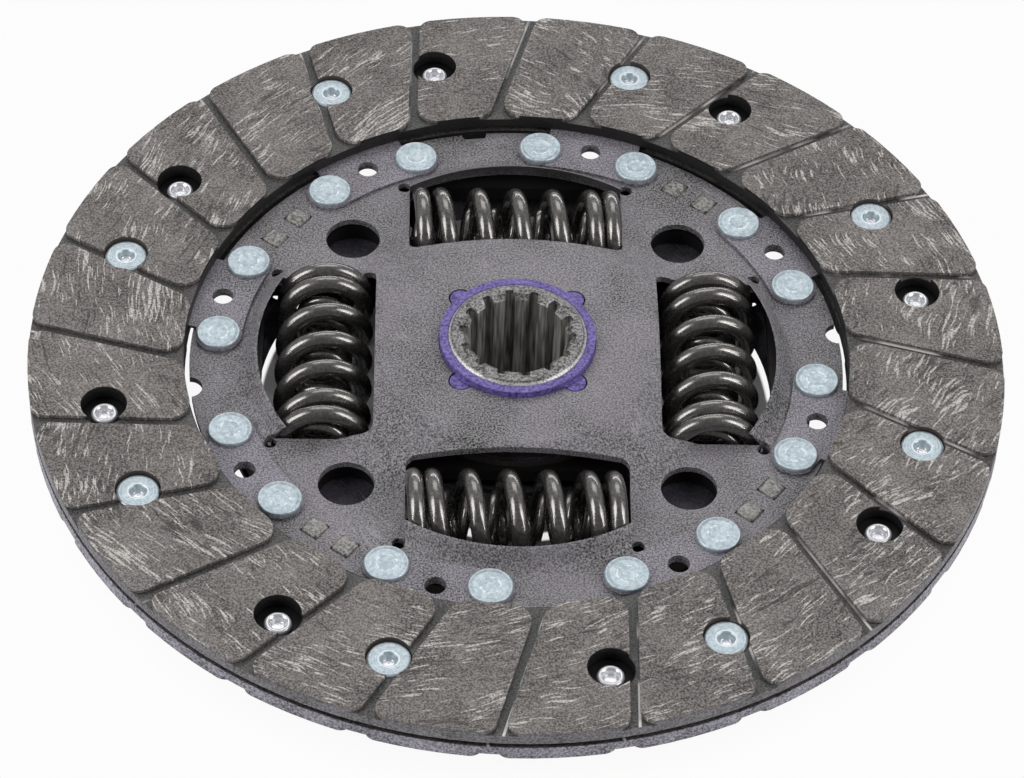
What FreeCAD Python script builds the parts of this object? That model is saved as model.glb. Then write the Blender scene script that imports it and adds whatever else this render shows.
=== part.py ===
import FreeCAD, Part
import math
import os
import Sketcher
from FreeCAD import Placement, Rotation, Vector

# Clutch disc with a torsion damper, 200 mm across the linings.
# The origin is on the hub axis, half way between the two friction faces.
# The spring windows are centred on +X, +Y, -X and -Y.

doc = FreeCAD.newDocument("clutch_disc")
sheet = doc.addObject("Spreadsheet::Sheet", "Sizes")

SIZES = {
    # linings
    "disc_radius": 100.0,
    "lining_bore": 68.3,
    "face_height": 3.85,
    "groove_depth": 1.1,
    "lining_back": 0.65,
    "groove_width": 1.9,
    "groove_offset": 22.8,
    "groove_angle": -0.6,
    "pad_count": 24,
    "pad_inner_corner": 4.2,
    "pad_outer_corner": 2.8,
    # lining rivets
    "lining_rivet_circle": 85.4,
    "upper_rivet_angle": 27.85,
    "lower_rivet_angle": 11.8,
    "lining_rivet_head": 4.35,
    "lining_rivet_bore": 1.5,
    "lining_rivet_tail": 2.85,
    "head_seat": 2.1,
    "head_thickness": 0.83,
    "counterbore": 4.6,
    "clearance_hole": 4.7,
    "shank": 2.0,
    "shank_hole": 2.08,
    # cushion segments
    "segment_count": 8,
    "first_segment": 30.0,
    "sheet_half": 0.35,
    "foot_inner": 57.2,
    "foot_round": 4.8,
    "neck_half": 9.9,
    "blade_inner": 70.6,
    "blade_outer": 98.0,
    "blade_half_angle": 21.8,
    "blade_corner": 3.0,
    # foot rivets
    "foot_rivet_circle": 61.8,
    "foot_rivet_angle": 9.87,
    "foot_rivet_head": 4.5,
    "foot_rivet_rise": 0.9,
    "foot_rivet_tail": 3.5,
    "foot_tail_height": 0.6,
    "foot_hole": 2.2,
    "foot_hole_circle": 63.2,
    # plates
    "plate_radius": 67.25,
    "plate_thickness": 1.4,
    "plate_top": -0.35,
    "dish_rise": 6.15,
    "dish_inner": 28.6,
    "dish_outer": 43.0,
    "plate_bore": 16.15,
    "window_half": 22.5,
    "window_inner": 29.2,
    "window_corner": 2.0,
    "lip_centre": 11.8,
    "lip_root": 44.0,
    "lip_edge": 41.5,
    "lip_rise": 3.65,
    "lip_half_angle": 33.0,
    "relief_radius": 1.35,
    "relief_across": 23.7,
    "relief_out": 49.9,
    "port_radius": 5.7,
    "port_circle": 48.6,
    "edge_notch": 2.7,
    "edge_notch_circle": 67.5,
    "edge_notch_angle": 7.5,
    "slot_width": 4.2,
    "slot_depth": 4.4,
    "slot_angle": 3.6,
    "stop_circle": 61.2,
    "stop_angle": 52.5,
    "stop_half": 7.7,
    "tenon_proud": 0.7,
    "damper_plane": -4.2,
    "retainer_radius": 61.3,
    "retainer_lobe": 66.0,
    "retainer_lobe_half": 10.0,
    "retainer_dish": 2.0,
    # hub
    "hub_radius": 14.2,
    "hub_top": 8.0,
    "hub_bottom": -16.5,
    "hub_chamfer": 0.8,
    "spline_teeth": 14,
    "spline_major": 12.05,
    "spline_minor": 10.15,
    "spline_space_outer": 0.8,
    "spline_space_inner": 1.08,
    "spline_angle": 98.0,
    "flange_radius": 60.8,
    "flange_half": 1.6,
    "flange_notch": 58.5,
    "flange_notch_half": 15.4,
    "flange_window_outer": 52.5,
    "flange_window_corner": 0.6,
    "flange_hole": 6.25,
    "flange_hole_circle": 48.0,
    # bushes and friction stack
    "bush_bore": 14.25,
    "bush_radius": 16.05,
    "bush_top": 7.3,
    "bush_foot": -1.0,
    "bush_flange": 24.0,
    "ear_radius": 2.25,
    "ear_notch": 2.55,
    "ear_circle": 16.4,
    "ring_inner": 16.4,
    "ring_outer": 27.3,
    "front_ring_thickness": 1.4,
    "pressure_ring_thickness": 1.2,
    "disc_spring_height": 2.9,
    "disc_spring_sheet": 0.8,
    "disc_spring_outer": 26.0,
    "rear_ring_thickness": 1.5,
    "rear_bush_end": -10.6,
    # damper springs
    "spring_circle": 39.8,
    "spring_half_length": 22.45,
    "outer_coil_radius": 8.3,
    "outer_wire": 1.8,
    "outer_pitch": 7.95,
    "outer_half_turns": 3.4,
    "outer_crest": 0.113,
    "inner_coil_radius": 4.9,
    "inner_wire": 1.1,
    "inner_pitch": 5.0,
    "inner_half_turns": 4.6,
    "inner_crest": 0.0,
    "closed_gap": 0.13,
}

for row, (alias, value) in enumerate(SIZES.items(), start=1):
    sheet.set("A%d" % row, alias)
    sheet.set("B%d" % row, str(value))
    sheet.setAlias("B%d" % row, alias)
doc.recompute()


def size(alias):
    return float(sheet.get(alias))


def expression(text):
    """A formula over the sheet's names, such as 'plate_top - plate_thickness'."""
    words = []
    for word in text.replace("(", " ( ").replace(")", " ) ").split():
        words.append("Sizes." + word if word in SIZES else word)
    return " ".join(words)


def amount(text):
    """The value of such a formula, for geometry that is worked out here."""
    names = {alias: size(alias) for alias in SIZES}
    total = 0.0
    sign = 1.0
    factor = None
    for word in text.split():
        if word in ("+", "-"):
            total += sign * (factor if factor is not None else 0.0)
            sign = 1.0 if word == "+" else -1.0
            factor = None
        elif word == "*":
            continue
        else:
            number = names[word] if word in names else float(word)
            factor = number if factor is None else factor * number
    return total + sign * factor


# Helpers for bodies, sketches and features.

def plane(body, role):
    return [feature for feature in body.Origin.OriginFeatures if feature.Role == role][0]


def new_body(label):
    body = doc.addObject("PartDesign::Body", label)
    body.Label = label
    body.AllowCompound = True
    return body


def new_sketch(body, name, role="XY_Plane", height=None, turn=0.0):
    """A sketch on an origin plane; height lifts it along Z, turn swings it about Z."""
    sketch = body.newObject("Sketcher::SketchObject", name)
    sketch.AttachmentSupport = (plane(body, role), [""])
    sketch.MapMode = "FlatFace"
    if role == "XZ_Plane":
        sketch.AttachmentOffset = Placement(Vector(0, 0, 0), Rotation(Vector(0, 1, 0), turn))
    if height is not None:
        sketch.setExpression("AttachmentOffset.Base.z", expression(height))
    return sketch


def add_polygon(sketch, points):
    """A closed outline whose corners are bound to formulas over the sheet."""
    values = [Vector(amount(x), amount(y), 0) for x, y in points]
    first = sketch.GeometryCount
    count = len(points)
    for index in range(count):
        sketch.addGeometry(Part.LineSegment(values[index], values[(index + 1) % count]), False)
    for index in range(count):
        following = first + (index + 1) % count
        sketch.addConstraint(Sketcher.Constraint("Coincident", first + index, 2, following, 1))
    for index, (x, y) in enumerate(points):
        for kind, text, value in (("DistanceX", x, values[index].x), ("DistanceY", y, values[index].y)):
            if abs(value) < 1e-9:
                axis = -2 if kind == "DistanceX" else -1
                sketch.addConstraint(Sketcher.Constraint("PointOnObject", first + index, 1, axis))
                continue
            number = sketch.addConstraint(
                Sketcher.Constraint(kind, -1, 1, first + index, 1, value))
            sketch.setExpression("Constraints[%d]" % number, expression(text))


def add_circle(sketch, radius, centre=(0.0, 0.0)):
    """A circle with its radius bound to a formula."""
    place = Vector(centre[0], centre[1], 0)
    index = sketch.addGeometry(Part.Circle(place, Vector(0, 0, 1), amount(radius)), False)
    number = sketch.addConstraint(Sketcher.Constraint("Radius", index, amount(radius)))
    sketch.setExpression("Constraints[%d]" % number, expression(radius))
    if place.Length < 1e-9:
        sketch.addConstraint(Sketcher.Constraint("Coincident", index, 3, -1, 1))
    else:
        sketch.addConstraint(Sketcher.Constraint("Block", index))


def add_outline(sketch, edges):
    """Edges worked out from the sheet's sizes; an arc is three points, a line two."""
    for edge in edges:
        if len(edge) == 2:
            sketch.addGeometry(Part.LineSegment(edge[0], edge[1]), False)
        else:
            sketch.addGeometry(Part.Arc(edge[0], edge[1], edge[2]), False)
    count = len(edges)
    for index in range(count):
        sketch.addConstraint(Sketcher.Constraint("Block", index + sketch.GeometryCount - count))


def polar(radius, degrees):
    angle = math.radians(degrees)
    return Vector(radius * math.cos(angle), radius * math.sin(angle), 0)


def rounded_outline(corners, radii):
    """Straight sided outline with round corners."""
    count = len(corners)
    edges = []
    entries = []
    exits = []
    middles = []
    for index in range(count):
        corner = corners[index]
        before = (corners[index - 1] - corner).normalize()
        after = (corners[(index + 1) % count] - corner).normalize()
        radius = radii[index]
        if radius <= 0:
            entries.append(corner)
            exits.append(corner)
            middles.append(None)
            continue
        half = math.acos(max(-1.0, min(1.0, before.dot(after)))) / 2
        reach = radius / math.tan(half)
        centre = corner + (before + after).normalize() * (radius / math.sin(half))
        entries.append(corner + before * reach)
        exits.append(corner + after * reach)
        middles.append(centre + (corner - centre).normalize() * radius)
    for index in range(count):
        if middles[index] is not None:
            edges.append((entries[index], middles[index], exits[index]))
        edges.append((exits[index], entries[(index + 1) % count]))
    return edges


def add_pad(body, name, sketch, length, midplane=False, downward=False):
    pad = body.newObject("PartDesign::Pad", name)
    pad.Profile = (sketch, [""])
    pad.setExpression("Length", expression(length))
    if midplane:
        pad.SideType = "Symmetric"
    pad.Reversed = downward
    return pad


def add_pocket(body, name, sketch, length=None, downward=True):
    """A pocket; without a length it cuts both ways through all."""
    pocket = body.newObject("PartDesign::Pocket", name)
    pocket.Profile = (sketch, [""])
    if length is None:
        pocket.Type = "ThroughAll"
        pocket.SideType = "Symmetric"
    else:
        pocket.setExpression("Length", expression(length))
        pocket.Reversed = not downward
    return pocket


def add_revolution(body, name, sketch, axis="V_Axis", angle=360.0, midplane=False):
    revolution = body.newObject("PartDesign::Revolution", name)
    revolution.Profile = (sketch, [""])
    revolution.ReferenceAxis = (sketch, [axis])
    revolution.Angle = angle
    if midplane:
        revolution.Midplane = True
    return revolution


def add_polar_pattern(body, name, originals, count):
    pattern = body.newObject("PartDesign::PolarPattern", name)
    pattern.Originals = originals
    pattern.Axis = (plane(body, "Z_Axis"), [""])
    pattern.Angle = 360.0
    pattern.Occurrences = count
    body.Tip = pattern
    return pattern


def add_axis_line(sketch, x):
    """A construction line parallel to Z, which becomes the sketch's Axis0."""
    bottom = Vector(x, -10.0, 0)
    top = Vector(x, 10.0, 0)
    index = sketch.addGeometry(Part.LineSegment(bottom, top), True)
    sketch.addConstraint(Sketcher.Constraint("Block", index))


def ring_body(label, points):
    """A turned piece: its section, as formulas for radius and height, turned about Z."""
    body = new_body(label)
    section = new_sketch(body, label + "_section", "XZ_Plane")
    add_polygon(section, points)
    add_revolution(body, label + "_turned", section)
    return body


def box_section(inner, outer, bottom, top):
    return [(inner, bottom), (outer, bottom), (outer, top), (inner, top)]


# Friction linings: a flat ring with raised pads between slanted grooves.

def pad_outline():
    """One pad between two groove lines, with round corners."""
    half_groove = size("groove_width") / 2
    offset = size("groove_offset")
    start = size("groove_angle")
    step = 360.0 / size("pad_count")
    inner = size("lining_bore")
    outer = size("disc_radius")
    round_in = size("pad_inner_corner")
    round_out = size("pad_outer_corner")

    def on_line(direction, side, radius, distance):
        along = polar(1.0, direction)
        across = polar(1.0, direction + 90.0)
        reach = math.sqrt(distance ** 2 - (offset + side * (half_groove + radius)) ** 2)
        return across * (offset + side * (half_groove + radius)) + along * reach, across * (-side * radius)

    right_in, right_in_step = on_line(start, 1, round_in, inner + round_in)
    right_out, right_out_step = on_line(start, 1, round_out, outer - round_out)
    left_in, left_in_step = on_line(start + step, -1, round_in, inner + round_in)
    left_out, left_out_step = on_line(start + step, -1, round_out, outer - round_out)

    def corner(centre, to_line, radius, to_ring):
        line_point = centre + to_line
        ring_point = centre * (1 + to_ring / centre.Length)
        middle = centre + ((line_point - centre) + (ring_point - centre)).normalize() * radius
        return line_point, middle, ring_point

    a_line, a_mid, a_ring = corner(right_in, right_in_step, round_in, -round_in)
    b_line, b_mid, b_ring = corner(right_out, right_out_step, round_out, round_out)
    c_line, c_mid, c_ring = corner(left_out, left_out_step, round_out, round_out)
    d_line, d_mid, d_ring = corner(left_in, left_in_step, round_in, -round_in)
    outer_mid = (b_ring + c_ring).normalize() * outer
    inner_mid = (a_ring + d_ring).normalize() * inner
    return [
        (a_ring, a_mid, a_line),
        (a_line, b_line),
        (b_line, b_mid, b_ring),
        (b_ring, outer_mid, c_ring),
        (c_ring, c_mid, c_line),
        (c_line, d_line),
        (d_line, d_mid, d_ring),
        (d_ring, inner_mid, a_ring),
    ]


def make_lining(label):
    body = new_body(label)
    base = new_sketch(body, label + "_ring", height="lining_back")
    add_circle(base, "disc_radius")
    add_circle(base, "lining_bore")
    add_pad(body, label + "_base", base, "face_height - lining_back - groove_depth")
    pads = new_sketch(body, label + "_pad_outline", height="face_height - groove_depth")
    add_outline(pads, pad_outline())
    pad = add_pad(body, label + "_pad", pads, "groove_depth")
    add_polar_pattern(body, label + "_pads", [pad], int(size("pad_count")))
    head_place = polar(size("lining_rivet_circle"), size("upper_rivet_angle"))
    tail_place = polar(size("lining_rivet_circle"), size("lower_rivet_angle"))
    seat = new_sketch(body, label + "_seat", height="face_height")
    add_circle(seat, "counterbore", (head_place.x, head_place.y))
    seat_pocket = add_pocket(body, label + "_counterbore", seat, "face_height - head_seat")
    shank = new_sketch(body, label + "_shank_hole", height="face_height")
    add_circle(shank, "shank_hole", (head_place.x, head_place.y))
    shank_pocket = add_pocket(body, label + "_shank", shank)
    tail = new_sketch(body, label + "_tail_hole", height="face_height")
    add_circle(tail, "clearance_hole", (tail_place.x, tail_place.y))
    tail_pocket = add_pocket(body, label + "_clearance", tail)
    add_polar_pattern(body, label + "_holes", [seat_pocket, shank_pocket, tail_pocket],
                      int(size("segment_count")))
    return body


lining_upper = make_lining("lining_upper")
lining_lower = make_lining("lining_lower")
# The lower lining is the same part turned over, about the line between its two rivet angles.
turn_axis = polar(1.0, (size("upper_rivet_angle") + size("lower_rivet_angle")) / 2)
lining_lower.Placement = Placement(Vector(0, 0, 0), Rotation(turn_axis, 180))


# Rivets: turned about their own axis, then patterned about the hub axis.

def make_rivets(label, circle, turns, points):
    body = new_body(label)
    originals = []
    for number, turn in enumerate(turns, start=1):
        section = new_sketch(body, "%s_section_%d" % (label, number), "XZ_Plane", turn=turn)
        add_axis_line(section, size(circle))
        add_polygon(section, points)
        originals.append(add_revolution(body, "%s_rivet_%d" % (label, number), section, "Axis0"))
    add_polar_pattern(body, label + "_pattern", originals, int(size("segment_count")))
    return body


def lining_rivet_points(circle):
    bore = circle + " + lining_rivet_bore"
    head = circle + " + lining_rivet_head"
    stem = circle + " + shank"
    tail = circle + " + lining_rivet_tail"
    head_top = "head_seat + head_thickness"
    seat_level = "sheet_half - 0.4"
    return [
        (bore, head_top), (head + " - 0.25", head_top), (head, head_top + " - 0.25"),
        (head, "head_seat"), (stem, "head_seat"), (stem, seat_level), (tail, seat_level),
        (tail, seat_level + " - 0.8"), (tail + " - 0.45", seat_level + " - 1.2"),
        (bore, seat_level + " - 1.2"),
    ]


lining_rivets_upper = make_rivets(
    "lining_rivets_upper", "lining_rivet_circle", [0.0], lining_rivet_points("lining_rivet_circle"))
lining_rivets_upper.Placement = Placement(
    Vector(0, 0, 0), Rotation(Vector(0, 0, 1), size("upper_rivet_angle")))
lining_rivets_lower = make_rivets(
    "lining_rivets_lower", "lining_rivet_circle", [0.0], lining_rivet_points("lining_rivet_circle"))
lining_rivets_lower.Placement = Placement(
    Vector(0, 0, 0), Rotation(polar(1.0, size("lower_rivet_angle") / 2), 180))

foot = "foot_rivet_circle"
plate_bottom = "plate_top - plate_thickness"
segment_rivets = make_rivets(
    "segment_rivets", foot, [-size("foot_rivet_angle"), size("foot_rivet_angle")], [
        (foot, "sheet_half + foot_rivet_rise"),
        (foot + " + foot_rivet_head - 0.3", "sheet_half + foot_rivet_rise"),
        (foot + " + foot_rivet_head", "sheet_half + foot_rivet_rise - 0.3"),
        (foot + " + foot_rivet_head", "sheet_half"),
        (foot + " + shank", "sheet_half"),
        (foot + " + shank", plate_bottom),
        (foot + " + foot_rivet_tail", plate_bottom),
        (foot + " + foot_rivet_tail", plate_bottom + " - foot_tail_height"),
        (foot, plate_bottom + " - foot_tail_height"),
    ])
segment_rivets.Placement = Placement(Vector(0, 0, 0), Rotation(Vector(0, 0, 1), size("first_segment")))


# Cushion segments: a foot on the drive plate and a waved blade between the linings.
# In its own frame the foot's middle is on +Y.

def wave_levels():
    """Middle height of the sheet across the blade: x position and level."""
    rise = size("lining_back") - size("sheet_half")
    return [(-36.0, -rise), (-15.0, -rise), (-10.5, rise), (7.5, rise), (12.0, -rise), (36.0, -rise)]


def foot_outline():
    """Foot with round ends about its two rivets, and the neck up to the blade."""
    angle = size("foot_rivet_angle")
    circle = size("foot_rivet_circle")
    end_round = size("foot_round")
    neck = size("neck_half")
    right = polar(circle, 90.0 - angle)
    left = Vector(-right.x, right.y, 0)
    heel_right = polar(size("foot_inner"), 90.0 - angle)
    heel_left = Vector(-heel_right.x, heel_right.y, 0)
    start = right + (heel_right - right).normalize() * end_round
    side = right + Vector(end_round, 0, 0)
    shoulder = right + Vector(math.cos(math.radians(50)), math.sin(math.radians(50)), 0) * end_round
    neck_foot = Vector(neck, shoulder.y + 1.4, 0)
    top = Vector(neck, size("blade_inner") + 3.0, 0)
    mirror = lambda point: Vector(-point.x, point.y, 0)
    heel = Vector(0, math.hypot(start.x, start.y), 0)
    return [
        (start, side, shoulder),
        (shoulder, neck_foot),
        (neck_foot, top),
        (top, mirror(top)),
        (mirror(top), mirror(neck_foot)),
        (mirror(neck_foot), mirror(shoulder)),
        (mirror(shoulder), mirror(side), mirror(start)),
        (mirror(start), heel, start),
    ]


def blade_outline():
    """Ring sector with round corners, as two arcs and two straight sides."""
    half = size("blade_half_angle")
    inner = size("blade_inner")
    outer = size("blade_outer")
    corner = size("blade_corner")
    turn_in = math.degrees(math.asin(corner / (inner + corner)))
    turn_out = math.degrees(math.asin(corner / (outer - corner)))
    edges = []
    points = []
    for side in (-1, 1):
        edge = 90.0 - side * half
        centre_in = polar(inner + corner, edge + side * turn_in)
        centre_out = polar(outer - corner, edge + side * turn_out)
        across = polar(corner, edge - side * 90.0)
        ring_in = centre_in * (inner / (inner + corner))
        ring_out = centre_out * (outer / (outer - corner))
        line_in = centre_in + across
        line_out = centre_out + across
        mid_in = centre_in + ((ring_in - centre_in) + across).normalize() * corner
        mid_out = centre_out + ((ring_out - centre_out) + across).normalize() * corner
        points.append((ring_in, mid_in, line_in, line_out, mid_out, ring_out))
    left, right = points
    edges.append((left[0], left[1], left[2]))
    edges.append((left[2], left[3]))
    edges.append((left[3], left[4], left[5]))
    edges.append((left[5], Vector(0, outer, 0), right[5]))
    edges.append((right[5], right[4], right[3]))
    edges.append((right[3], right[2]))
    edges.append((right[2], right[1], right[0]))
    edges.append((right[0], Vector(0, inner, 0), left[0]))
    return edges


def make_segment(number):
    label = "cushion_segment_%d" % number
    body = new_body(label)
    half = size("sheet_half")
    levels = wave_levels()
    upper = [Vector(x, level + half, 0) for x, level in levels]
    lower = [Vector(x, level - half, 0) for x, level in reversed(levels)]
    wave = new_sketch(body, label + "_wave", "XZ_Plane")
    ring = upper + lower
    add_outline(wave, [(ring[index], ring[(index + 1) % len(ring)]) for index in range(len(ring))])
    add_pad(body, label + "_sheet", wave, "blade_outer + 2.0", downward=True)
    trim = new_sketch(body, label + "_trim")
    reach = size("disc_radius") + 20.0
    frame = [Vector(-reach, -20, 0), Vector(reach, -20, 0), Vector(reach, reach, 0), Vector(-reach, reach, 0)]
    add_outline(trim, [(frame[index], frame[(index + 1) % 4]) for index in range(4)])
    add_outline(trim, blade_outline())
    add_pocket(body, label + "_blade", trim)
    foot_sketch = new_sketch(body, label + "_foot_outline")
    add_outline(foot_sketch, foot_outline())
    add_pad(body, label + "_foot", foot_sketch, "2 * sheet_half", midplane=True)
    holes = new_sketch(body, label + "_holes")
    for side in (-1, 1):
        place = polar(size("foot_rivet_circle"), 90.0 + side * size("foot_rivet_angle"))
        add_circle(holes, "shank_hole", (place.x, place.y))
    middle = size("first_segment")
    for rivet_angle in (size("upper_rivet_angle"), size("lower_rivet_angle")):
        place = polar(size("lining_rivet_circle"), 90.0 + rivet_angle - middle)
        add_circle(holes, "shank_hole", (place.x, place.y))
    pilot = new_sketch(body, label + "_pilot")
    add_circle(pilot, "foot_hole", (0.0, size("foot_hole_circle")))
    add_pocket(body, label + "_rivet_holes", holes)
    add_pocket(body, label + "_pilot_hole", pilot)
    turn = size("first_segment") - 90.0 + (number - 1) * 360.0 / size("segment_count")
    body.Placement = Placement(Vector(0, 0, 0), Rotation(Vector(0, 0, 1), turn))
    return body


segments = [make_segment(number) for number in range(1, int(size("segment_count")) + 1)]


# Plates. Both are turned from a dished section; the windows, holes and slots are then cut.

def window_outline():
    """Spring window about +X: straight inner edge, parallel ends, outer arc at the lip's root."""
    half = size("window_half")
    inner = size("window_inner")
    corner = size("window_corner")
    centre = size("lip_centre")
    root = size("lip_root")
    end = centre + math.sqrt(root ** 2 - half ** 2)
    diagonal = corner * math.sqrt(0.5)
    low = Vector(inner + corner, -half, 0)
    low_mid = Vector(inner + corner - diagonal, -half + corner - diagonal, 0)
    low_in = Vector(inner, -half + corner, 0)
    mirror = lambda point: Vector(point.x, -point.y, 0)
    return [
        (Vector(end, -half, 0), low),
        (low, low_mid, low_in),
        (low_in, mirror(low_in)),
        (mirror(low_in), mirror(low_mid), mirror(low)),
        (mirror(low), Vector(end, half, 0)),
        (Vector(end, half, 0), Vector(centre + root, 0, 0), Vector(end, -half, 0)),
    ]


def sector_outline(inner, outer, middle, half):
    """Ring sector between two radii."""
    a = polar(inner, middle - half)
    b = polar(outer, middle - half)
    c = polar(outer, middle + half)
    d = polar(inner, middle + half)
    return [(a, b), (b, polar(outer, middle), c), (c, d), (d, polar(inner, middle), a)]


def add_windows(body, label, face, up):
    """Four windows with a raised lip along the outer edge and two relief holes each."""
    cut = new_sketch(body, label + "_window_outline")
    add_outline(cut, window_outline())
    window = add_pocket(body, label + "_window", cut)
    section = new_sketch(body, label + "_lip_section", "XZ_Plane")
    add_axis_line(section, size("lip_centre"))
    sign = "+" if up else "-"
    back = "-" if up else "+"
    root = "lip_centre + lip_root"
    edge = "lip_centre + lip_edge"
    add_polygon(section, [
        (root, "%s %s plate_thickness" % (face, back)),
        (root + " - 0.3", "%s %s 0.15" % (face, sign)),
        (root + " - 1.0", "%s %s 1.35" % (face, sign)),
        (root + " - 1.7", "%s %s 2.65" % (face, sign)),
        (edge, "%s %s lip_rise" % (face, sign)),
        (edge + " + 0.6", "%s %s lip_rise %s 0.35" % (face, sign, back)),
        (root + " - 0.8", "%s %s 1.95" % (face, sign)),
        (root + " - 0.05", "%s %s 1.1" % (face, sign)),
        (root + " + 0.8", "%s %s 0.45" % (face, sign)),
        (root + " + 1.8", face),
        (root + " + 1.8", "%s %s plate_thickness" % (face, back)),
    ])
    lip = add_revolution(body, label + "_lip", section, "Axis0", 2 * size("lip_half_angle"), True)
    ends = new_sketch(body, label + "_lip_end_outline", height=face)
    near = size("window_half") + 0.1
    far = near + 4.0
    for side in (-1, 1):
        corners = [Vector(x, side * y, 0) for x, y in ((44, near), (60, near), (60, far), (44, far))]
        add_outline(ends, [(corners[index], corners[(index + 1) % 4]) for index in range(4)])
    trim = add_pocket(body, label + "_lip_end", ends, "lip_rise", downward=not up)
    relief = new_sketch(body, label + "_relief_outline")
    for side in (-1, 1):
        add_circle(relief, "relief_radius", (size("relief_out"), side * size("relief_across")))
    reliefs = add_pocket(body, label + "_relief", relief)
    add_polar_pattern(body, label + "_windows", [window, lip, trim, reliefs], 4)


def stop_slot_places():
    """Middles of the eight stop slots' first pair, in a frame where the stop is on +X."""
    across = size("stop_circle") * math.sin(math.radians(size("slot_angle")))
    return [-across, across]


def add_stop_slots(body, label):
    """Two slots in the plate for each stop, patterned four times."""
    sketch = new_sketch(body, label + "_slot_outline")
    turn = Rotation(Vector(0, 0, 1), size("stop_angle"))
    depth = size("slot_depth") / 2 + 0.03
    width = size("slot_width") / 2 + 0.03
    for across in stop_slot_places():
        middle = Vector(size("stop_circle"), across, 0)
        corners = [middle + Vector(x * depth, y * width, 0) for x, y in ((-1, -1), (1, -1), (1, 1), (-1, 1))]
        corners = [turn.multVec(corner) for corner in corners]
        add_outline(sketch, [(corners[index], corners[(index + 1) % 4]) for index in range(4)])
    slots = add_pocket(body, label + "_slot", sketch)
    add_polar_pattern(body, label + "_slots", [slots], 4)


def make_drive_plate():
    label = "drive_plate"
    under = "plate_top - plate_thickness"
    body = ring_body(label, [
        ("plate_bore", under + " + dish_rise"),
        ("dish_inner - 0.3", under + " + dish_rise"),
        ("dish_outer - 0.3", under),
        ("plate_radius", under),
        ("plate_radius", "plate_top"),
        ("dish_outer", "plate_top"),
        ("dish_inner", "plate_top + dish_rise"),
        ("plate_bore", "plate_top + dish_rise"),
    ])
    add_windows(body, label, "plate_top", True)
    add_stop_slots(body, label)
    holes = new_sketch(body, label + "_hole_outline")
    port = polar(size("port_circle"), 45.0)
    ear = polar(size("ear_circle"), 45.0)
    notch = polar(size("edge_notch_circle"), size("edge_notch_angle"))
    add_circle(holes, "port_radius", (port.x, port.y))
    add_circle(holes, "ear_notch", (ear.x, ear.y))
    add_circle(holes, "edge_notch", (notch.x, notch.y))
    ports = add_pocket(body, label + "_hole", holes)
    add_polar_pattern(body, label + "_holes", [ports], 4)
    feet = new_sketch(body, label + "_foot_hole_outline")
    middle = size("first_segment")
    for side in (-1, 1):
        place = polar(size("foot_rivet_circle"), middle + side * size("foot_rivet_angle"))
        add_circle(feet, "shank_hole", (place.x, place.y))
    pilot = polar(size("foot_hole_circle"), middle)
    add_circle(feet, "foot_hole", (pilot.x, pilot.y))
    foot_holes = add_pocket(body, label + "_foot_hole", feet)
    add_polar_pattern(body, label + "_foot_holes", [foot_holes], int(size("segment_count")))
    return body


drive_plate = make_drive_plate()


def make_retainer_plate():
    """The far plate: the drive plate's windows in mirror image, and four lobes at the stops."""
    label = "retainer_plate"
    face = "2 * damper_plane - plate_top"
    upper = face + " + plate_thickness"
    body = ring_body(label, [
        ("plate_bore", face + " - retainer_dish"),
        ("dish_inner", face + " - retainer_dish"),
        ("dish_inner + 4.5", face),
        ("retainer_lobe", face),
        ("retainer_lobe", upper),
        ("dish_inner + 4.8", upper),
        ("dish_inner + 0.3", upper + " - retainer_dish"),
        ("plate_bore", upper + " - retainer_dish"),
    ])
    add_windows(body, label, face, False)
    add_stop_slots(body, label)
    waist = new_sketch(body, label + "_waist_outline")
    half = 45.0 - size("retainer_lobe_half")
    middle = size("stop_angle") + 45.0
    add_outline(waist, sector_outline(size("retainer_radius"), size("retainer_lobe") + 2.0, middle, half))
    waists = add_pocket(body, label + "_waist", waist)
    add_polar_pattern(body, label + "_waists", [waists], 4)
    return body


retainer_plate = make_retainer_plate()


# Stop spacers: a bar between the plates with two tenons through each of them.
# In its own frame the stop is on +X.

def make_stop(number):
    label = "stop_spacer_%d" % number
    body = new_body(label)
    bar = new_sketch(body, label + "_bar_outline", height="plate_top - plate_thickness")
    inner = "stop_circle - 0.5 * slot_depth"
    outer = "stop_circle + 0.5 * slot_depth"
    add_polygon(bar, [(inner, "-1 * stop_half"), (outer, "-1 * stop_half"),
                      (outer, "stop_half"), (inner, "stop_half")])
    gap = "2 * plate_top - 2 * plate_thickness - 2 * damper_plane"
    add_pad(body, label + "_bar", bar, gap, downward=True)
    tenons = new_sketch(body, label + "_tenon_outline", height="plate_top + tenon_proud")
    depth = size("slot_depth") / 2
    width = size("slot_width") / 2
    for across in stop_slot_places():
        middle = Vector(size("stop_circle"), across, 0)
        corners = [middle + Vector(x * depth, y * width, 0) for x, y in ((-1, -1), (1, -1), (1, 1), (-1, 1))]
        add_outline(tenons, [(corners[index], corners[(index + 1) % 4]) for index in range(4)])
    add_pad(body, label + "_tenons", tenons, gap + " + 2 * plate_thickness + 2 * tenon_proud", downward=True)
    turn = size("stop_angle") + (number - 1) * 90.0
    body.Placement = Placement(Vector(0, 0, 0), Rotation(Vector(0, 0, 1), turn))
    return body


stops = [make_stop(number) for number in range(1, 5)]


# Hub: barrel and flange turned in one piece, with the spline, windows and stop notches cut.

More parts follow.
